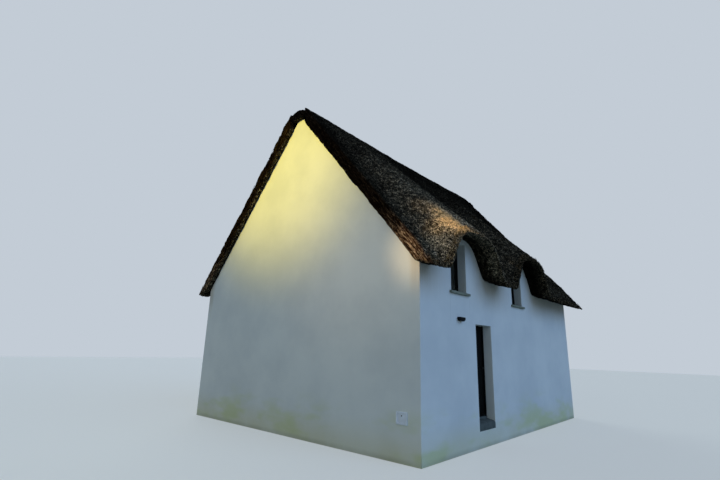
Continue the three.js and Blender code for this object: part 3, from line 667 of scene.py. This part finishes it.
def add_walls():
    """The four walls as one shell of render with its arrises softened. Only the softened arrises
    are shaded smooth, because the flat faces would show a line beside each jamb."""
    window_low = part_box("front_window_1_sill")[0].z
    frame_low, frame_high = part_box("front_window_1_frame")
    window_high = frame_high.z
    half_window = (frame_high.x - frame_low.x) / 2
    step_low, step_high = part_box("doorstep")
    door_left, door_foot = step_low.x, step_low.z
    door_right, door_head = step_high.x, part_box("door_frame")[1].z
    mesh = bmesh.new()
    bmesh.ops.create_cube(mesh, size=1)
    bmesh.ops.scale(mesh, vec=(2 * END_X, 2 * FACE_Y, RIDGE_UNDERSIDE), verts=mesh.verts)
    bmesh.ops.translate(mesh, vec=(0, 0, RIDGE_UNDERSIDE / 2), verts=mesh.verts)
    ends = [face for face in mesh.faces if abs(face.normal.z) > 0.5]
    bmesh.ops.delete(mesh, geom=ends, context="FACES_ONLY")
    jambs = [centre + side * half_window for centre in WINDOW_CENTRES for side in (-1, 1)]
    steps = range(-ARCH_CUTS, ARCH_CUTS + 1)
    arches = [centre + ARCH_HALF_WIDTH[0] * step / ARCH_CUTS for centre in WINDOW_CENTRES for step in steps]
    clear = [x for x in arches if all(abs(x - jamb) > CUTS_APART for jamb in jambs)]
    cut_planes(mesh, 0, jambs + clear + [door_left, door_right])
    flat_half = FACE_Y - (RIDGE_UNDERSIDE - SOFFIT_HEIGHT) / SLOPE
    cut_planes(mesh, 1, [-flat_half, flat_half])
    cut_planes(mesh, 2, [door_foot, door_head, window_low, window_high])

    def is_opening(face):
        """Whether a face lies in a window, or in the doorway at the front."""
        centre = face.calc_center_median()
        if abs(face.normal.y) < 0.5:
            return False
        in_window = any(abs(centre.x - c) < half_window for c in WINDOW_CENTRES)
        in_door = centre.y < 0 and door_left < centre.x < door_right and door_foot < centre.z < door_head
        return in_door or (in_window and window_low < centre.z < window_high)

    bmesh.ops.delete(mesh, geom=[face for face in mesh.faces if is_opening(face)], context="FACES")
    for vertex in mesh.verts:
        long_wall = abs(vertex.co.y) > FACE_Y - TOUCHING
        inward = 0 if long_wall else FACE_Y - abs(vertex.co.y)
        limit = underside(vertex.co.x, 0) if long_wall else SOFFIT_HEIGHT + SLOPE * inward
        vertex.co.z = min(vertex.co.z, limit, RIDGE_UNDERSIDE)
    bmesh.ops.remove_doubles(mesh, verts=mesh.verts, dist=TOUCHING)
    bmesh.ops.recalc_face_normals(mesh, faces=mesh.faces)
    bmesh.ops.solidify(mesh, geom=mesh.faces[:], thickness=WALL_THICKNESS)
    bmesh.ops.recalc_face_normals(mesh, faces=mesh.faces)

    def is_arris(edge):
        """Whether an edge is an outer corner that shows. The thatch hides those above the soffit,
        apart from a window's."""
        middle = (edge.verts[0].co + edge.verts[1].co) / 2
        on_long_wall = abs(middle.y) > FACE_Y - TOUCHING
        outer = abs(middle.x) > END_X - TOUCHING or on_long_wall
        beside = any(abs(middle.x - c) < half_window + NEARLY for c in WINDOW_CENTRES)
        at_window = on_long_wall and middle.z < window_high + NEARLY and beside
        hidden = middle.z < TOUCHING or (middle.z > SOFFIT_HEIGHT - NEARLY and not at_window)
        return outer and not hidden and len(edge.link_faces) == 2 and edge.calc_face_angle() > CORNER

    arrises = [edge for edge in mesh.edges if is_arris(edge)]
    eased = bmesh.ops.bevel(mesh, geom=arrises, offset=WALL_ARRIS, segments=3, profile=0.5,
                            affect="EDGES", material=-1)
    for face in eased["faces"]:
        face.smooth = True
    return finish_piece(mesh, "rendered_walls", [RENDER], ROOT, WALL_NODES)


def softened(node, name, materials, body, width, segments=2):
    """A copy of a frame node, merged, with its edges eased."""
    mesh = bmesh.new()
    mesh.from_mesh(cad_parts[node].data)
    bmesh.ops.remove_doubles(mesh, verts=mesh.verts, dist=WELD)
    bmesh.ops.dissolve_limit(mesh, angle_limit=math.radians(FLAT), verts=mesh.verts, edges=mesh.edges)
    sharp = [edge for edge in mesh.edges if edge.calc_face_angle(0) > math.radians(EDGE)]
    bmesh.ops.bevel(mesh, geom=sharp, offset=width, segments=segments, profile=0.5,
                    affect="EDGES", material=-1, clamp_overlap=True)
    return finish_piece(mesh, name, materials, body, [node], crease=CREASE)


def dress(node, material):
    """Gives a frame node that keeps its shape its finish."""
    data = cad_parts[node].data
    data.materials.clear()
    data.materials.append(material)


def add_windows():
    """The four windows: a frame, a sash, its beads, the pane and the sill of each."""
    for side in ("front", "back"):
        for number in (1, 2):
            window = f"{side}_window_{number}"
            softened(f"{window}_frame", f"{window}_outer_frame", [JOINERY], ROOT, 0.003)
            softened(f"{window}_casement", f"{window}_sash", [JOINERY], ROOT, 0.006, 3)
            softened(f"{window}_sill", f"{window}_slate", [SLATE], ROOT, 0.004)
            dress(f"{window}_glass", GLASS)
            add_glazing_beads(window, 1 if side == "back" else -1)


def add_doorway():
    """The step, the threshold and the lining, and the leaf with its handles and hinges."""
    softened("doorstep", "sawn_doorstep", [STONE], ROOT, 0.005)
    softened("door_threshold", "sawn_threshold", [STONE], ROOT, 0.004)
    softened("door_frame", "door_lining", [JOINERY], ROOT, 0.003)
    softened("door_leaf", "door_panel", [JOINERY], DOOR, 0.003)
    for place in ("outer", "inner"):
        node = f"door_handle_{place}"
        softened(node, f"lever_handle_{place}", [STEEL], DOOR, 0.002)
    for place in ("lower", "upper"):
        node = f"door_hinge_{place}"
        softened(node, f"hinge_pin_{place}", [STEEL], DOOR, 0.0015)


def add_wall_fittings():
    """The lamp under the first upper window, and the meter cover on the near gable."""
    softened("wall_lamp_plate", "lamp_back_plate", [LAMP], ROOT, 0.002)
    softened("wall_lamp_body", "lamp_housing", [LAMP], ROOT, 0.005, 3)
    softened("meter_cover_frame", "meter_cover_rim", [COVER], ROOT, 0.003)
    softened("meter_cover_hatch", "meter_cover_door", [COVER], ROOT, 0.002)


# The small trim of the windows, the door, the lamp and the meter cover
BEAD_WIDTH = 0.012
BEAD_DEPTH = 0.010
BEAD_EASE = 0.003
BAR_REACH = 0.018
BAR_HEIGHT = 0.034
BAR_ABOVE_FOOT = 0.012
BAR_SHORT = 0.02
BAR_EASE = 0.002
BAR_FALL = BAR_HEIGHT * 0.45
LOCK_RADIUS = 0.024
LOCK_THICKNESS = 0.008
LOCK_BESIDE_HANDLE = 0.002
LOCK_BELOW_HANDLE = 0.07
# The lock rose's shoulder, the width of its face round the keyhole, and the keyhole's rim, as
# shares of its radius, and the keyhole's depth as a share of its thickness
ROSE_SHOULDER = 0.94
ROSE_FACE = 0.55
KEYHOLE_RIM = 0.04
KEYHOLE_DEPTH = 0.5
LENS_SIZE = (0.11, 0.042, 0.005)
LENS_SUNK = 0.002
LENS_EASE = 0.001
COVER_LOCK_RADIUS = 0.011
COVER_LOCK_THICKNESS = 0.003
COVER_LOCK_HEIGHT = 0.78


def add_glazing_beads(window, facing):
    """Four mitred beads that hold the pane in its sash from outside."""
    low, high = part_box(f"{window}_glass")
    middle = (low + high) / 2
    mesh = bmesh.new()
    bmesh.ops.create_grid(mesh, x_segments=1, y_segments=1, size=0.5)
    bmesh.ops.scale(mesh, vec=(high.x - low.x, high.z - low.z, 1), verts=mesh.verts)
    pane = mesh.faces[:]
    bmesh.ops.inset_region(mesh, faces=pane, thickness=BEAD_WIDTH, use_boundary=True)
    bmesh.ops.delete(mesh, geom=pane, context="FACES")
    raised = bmesh.ops.extrude_face_region(mesh, geom=mesh.faces[:], use_keep_orig=True)["geom"]
    front = [item for item in raised if isinstance(item, bmesh.types.BMVert)]
    bmesh.ops.translate(mesh, vec=(0, 0, BEAD_DEPTH), verts=front)
    bmesh.ops.recalc_face_normals(mesh, faces=mesh.faces)
    arrises = [edge for edge in mesh.edges if all(vertex in front for vertex in edge.verts)
               and edge.calc_face_angle(0) > CORNER]
    bmesh.ops.bevel(mesh, geom=arrises, offset=BEAD_EASE, segments=2, profile=0.5,
                    affect="EDGES", material=-1)
    turn = Matrix.Rotation(math.pi / 2, 4, "X")
    if facing > 0:
        turn = Matrix.Rotation(math.pi, 4, "Z") @ turn
    face_y = low.y if facing < 0 else high.y
    place = Matrix.Translation((middle.x, face_y, middle.z)) @ turn
    bmesh.ops.transform(mesh, matrix=place, verts=mesh.verts)
    name = f"{window}_glazing_beads"
    return finish_piece(mesh, name, [JOINERY], ROOT, crease=CREASE)


def rounded_block(name, low, high, ease, material, body, lowered=0.0):
    """A block with eased edges. Its upper front edge may be lowered, to shed water."""
    middle = [(a + b) / 2 for a, b in zip(low, high)]
    mesh = bmesh.new()
    bmesh.ops.create_cube(mesh, size=1)
    bmesh.ops.scale(mesh, vec=[b - a for a, b in zip(low, high)], verts=mesh.verts)
    bmesh.ops.translate(mesh, vec=middle, verts=mesh.verts)
    upper_front = [v for v in mesh.verts if v.co.y < middle[1] and v.co.z > middle[2]]
    bmesh.ops.translate(mesh, vec=(0, 0, -lowered), verts=upper_front)
    bmesh.ops.bevel(mesh, geom=mesh.edges[:], offset=ease, segments=2, profile=0.5, affect="EDGES",
                    material=-1)
    return finish_piece(mesh, name, [material], body, crease=CREASE)


def add_lock_rose(name, place, axis, radius, thickness, body):
    """A round escutcheon with its keyhole sunk in the middle. It stands out along the axis."""
    mesh = bmesh.new()
    bmesh.ops.create_cone(mesh, cap_ends=True, segments=32, radius1=radius,
                          radius2=radius * ROSE_SHOULDER, depth=thickness)
    bmesh.ops.translate(mesh, vec=(0, 0, thickness / 2), verts=mesh.verts)
    face = max(mesh.faces, key=lambda item: item.calc_center_median().z)
    bmesh.ops.inset_region(mesh, faces=[face], thickness=radius * ROSE_FACE)
    bmesh.ops.inset_region(mesh, faces=[face], thickness=radius * KEYHOLE_RIM,
                           depth=-thickness * KEYHOLE_DEPTH)
    turn = Vector(axis).to_track_quat("Z", "Y").to_matrix().to_4x4()
    bmesh.ops.transform(mesh, matrix=Matrix.Translation(place) @ turn, verts=mesh.verts)
    return finish_piece(mesh, name, [STEEL], body, crease=CREASE)


def add_small_trim():
    """The door's weather bar and lock, the lamp's lens and the lock of the meter cover."""
    low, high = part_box("door_leaf")
    foot = low.z + BAR_ABOVE_FOOT
    bar_low = (low.x + BAR_SHORT, low.y - BAR_REACH, foot)
    bar_high = (high.x - BAR_SHORT, low.y, foot + BAR_HEIGHT)
    rounded_block("door_weather_bar", bar_low, bar_high, BAR_EASE, JOINERY, DOOR,
                  lowered=BAR_FALL)
    handle_low, handle_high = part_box("door_handle_outer")
    keyhole_x = handle_high.x - LOCK_RADIUS - LOCK_BESIDE_HANDLE
    keyhole = (keyhole_x, low.y, handle_low.z - LOCK_BELOW_HANDLE)
    add_lock_rose("door_lock_rose", keyhole, (0, -1, 0), LOCK_RADIUS, LOCK_THICKNESS, DOOR)

    low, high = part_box("wall_lamp_body")
    middle = (low + high) / 2
    wide, deep, thick = LENS_SIZE
    lens_low = (middle.x - wide / 2, middle.y - deep / 2, low.z - thick + LENS_SUNK)
    lens_high = (middle.x + wide / 2, middle.y + deep / 2, low.z + LENS_SUNK)
    rounded_block("lamp_lens", lens_low, lens_high, LENS_EASE, LENS, ROOT)

    low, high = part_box("meter_cover_hatch")
    keyhole = (low.x, (low.y + high.y) / 2, blend((low.z, high.z), COVER_LOCK_HEIGHT))
    add_lock_rose("meter_cover_lock", keyhole, (-1, 0, 0), COVER_LOCK_RADIUS, COVER_LOCK_THICKNESS, ROOT)


def dress_inside():
    """The floors and the roof timbers, which show through the doorway and the windows."""
    for node in ("ground_floor", "upper_floor"):
        dress(node, SCREED)
    timbers = ["ridge_beam"] + [f"purlin_{s}_{p}" for s in ("front", "back") for p in ("lower", "upper")]
    for node in timbers:
        dress(node, TIMBER)


# The photograph's camera, in metres, radians, pixels and millimetres
CAMERA_PLACE = (-11.042, -8.257, 1.93)
CAMERA_YAW = 0.840
CAMERA_PITCH = 0.256
CAMERA_ROLL = 0.027
FOCAL_PIXELS = 420
PHOTO_WIDTH = 720
SENSOR_WIDTH = 36


def add_camera():
    """The photograph's camera, worked out from the house's own edges."""
    data = bpy.data.cameras.new("camera")
    data.sensor_width = SENSOR_WIDTH
    data.lens = FOCAL_PIXELS / PHOTO_WIDTH * SENSOR_WIDTH
    camera = bpy.data.objects.new("camera", data)
    bpy.context.scene.collection.objects.link(camera)
    level = math.cos(CAMERA_PITCH)
    forward = Vector((math.sin(CAMERA_YAW) * level, math.cos(CAMERA_YAW) * level, math.sin(CAMERA_PITCH)))
    right = Vector((math.cos(CAMERA_YAW), -math.sin(CAMERA_YAW), 0))
    up = right.cross(forward)
    turn = Matrix.Rotation(CAMERA_ROLL, 3, forward)
    right.rotate(turn.inverted())
    up.rotate(turn.inverted())
    axes = Matrix((right, up, -forward)).transposed().to_4x4()
    camera.matrix_world = Matrix.Translation(CAMERA_PLACE) @ axes
    bpy.context.scene.camera = camera


def add_light(name, kind, energy, colour, place, target, lit=(), **settings):
    """Adds a light aimed at a target. It shines on everything, or only on the pieces in lit."""
    data = bpy.data.lights.new(name, kind)
    data.energy = energy
    data.color = linear(colour)[:3]
    for setting, value in settings.items():
        setattr(data, setting, value)
    light = bpy.data.objects.new(name, data)
    light.location = place
    light.rotation_euler = (Vector(target) - light.location).to_track_quat("-Z", "Y").to_euler()
    bpy.context.scene.collection.objects.link(light)
    if lit:
        receivers = bpy.data.collections.new(f"lit_by_{name}")
        for piece in lit:
            receivers.objects.link(piece)
        light.light_linking.receiver_collection = receivers


FLOOR_HALF = 60
FLOOR_BELOW = 0.002
FLOOR_GLOW = 0.45
SKY_STRENGTH = 0.42


def add_floor():
    """A plain pale floor. To the camera it glows a little, so that it meets the backdrop softly."""
    mesh = bmesh.new()
    bmesh.ops.create_grid(mesh, x_segments=1, y_segments=1, size=FLOOR_HALF)
    data = bpy.data.meshes.new("floor")
    mesh.to_mesh(data)
    mesh.free()
    floor = bpy.data.objects.new("floor", data)
    material, tree, shader = new_material("pale_floor", Base_Color=linear("#A4AAA0"), Roughness=0.9,
                                          Emission_Color=linear("#DDE2E8"))
    seen = add_node(tree, "LightPath", out="Is Camera Ray")
    glow = add_node(tree, "Math", [seen, FLOOR_GLOW], **MULTIPLY)
    tree.links.new(glow, shader.inputs["Emission Strength"])
    data.materials.append(material)
    bpy.context.scene.collection.objects.link(floor)
    floor.location.z = -FLOOR_BELOW


def add_sky():
    """A pale backdrop, and a soft bluish light from it."""
    world = bpy.data.worlds.new("pale_sky")
    world.use_nodes = True
    tree = world.node_tree
    skylight = tree.nodes["Background"]
    skylight.inputs["Color"].default_value = linear("#B9D0EA")
    skylight.inputs["Strength"].default_value = SKY_STRENGTH
    backdrop = add_node(tree, "Background", {"Color": linear("#C3CCD6"), "Strength": 1.0})
    seen = add_node(tree, "LightPath", out="Is Camera Ray")
    shown = add_node(tree, "MixShader", [seen, skylight.outputs[0], backdrop])
    tree.links.new(shown, tree.nodes["World Output"].inputs["Surface"])
    bpy.context.scene.world = world


def add_lights(house, sunlit):
    """Warm low light from the near gable's side, cool in front and soft at the back. The low sun
    falls on the house's own pieces and leaves no patches on the floor, and the warm key is kept to
    the sunlit pieces."""
    add_light("warm_key", "SPOT", 6400, "#FFE640", (-17, 2.0, 10), (-4.4, 0.9, 7.6),
              sunlit, spot_size=math.radians(38), spot_blend=1.0, shadow_soft_size=0.5)
    add_light("warm_dapple", "SPOT", 900, "#FFEBC4", (-17, -1.0, 8), (-4.4, -2.0, 5.0),
              spot_size=math.radians(30), spot_blend=1.0, shadow_soft_size=0.8)
    add_light("low_sun_on_the_crown", "SPOT", 7000, "#FFD890", (-15, -3.4, 8.5), (-3.58, -4.06, 4.4),
              house, spot_size=math.radians(3.9), spot_blend=0.9, shadow_soft_size=0.1)
    add_light("low_sun_on_the_flank", "SPOT", 3600, "#FFD890", (-15, -2.6, 9.5), (-3.48, -3.66, 4.95),
              house, spot_size=math.radians(4.0), spot_blend=0.9, shadow_soft_size=0.1)
    add_light("low_sun_on_the_corner", "SPOT", 3000, "#FFDFA8", (-16, -1.5, 6.5), (-4.5, -3.75, 3.85),
              house, spot_size=math.radians(7.5), spot_blend=1.0, shadow_soft_size=0.3)
    add_light("cool_front", "SUN", 0.9, "#93C0FF", (2, -18, 12), (0, 0, 2), angle=math.radians(50))
    add_light("warm_side", "SUN", 0.32, "#EEF2DE", (-20, 0, 6), (0, 0, 2), angle=math.radians(60))
    add_light("soft_back", "SUN", 0.8, "#E4ECF4", (8, 18, 11), (0, 0, 2), angle=math.radians(50))


bpy.context.scene.view_settings.view_transform = "Standard"
add_camera()
sunlit = [add_walls(), add_slope("back", 1), add_verge_reeds("back", 1, -1, "near")]
house = sunlit + [add_slope("front", -1), add_ridge(), add_verge_reeds("back", 1, 1, "far")]
for end, end_name in ((-1, "near"), (1, "far")):
    house.append(add_verge_reeds("front", -1, end, end_name))
for side, facing in (("front", -1), ("back", 1)):
    house.append(add_lip_reeds(side, facing))
add_windows()
add_doorway()
add_wall_fittings()
add_small_trim()
dress_inside()
add_floor()
add_sky()
add_lights(house, sunlit)
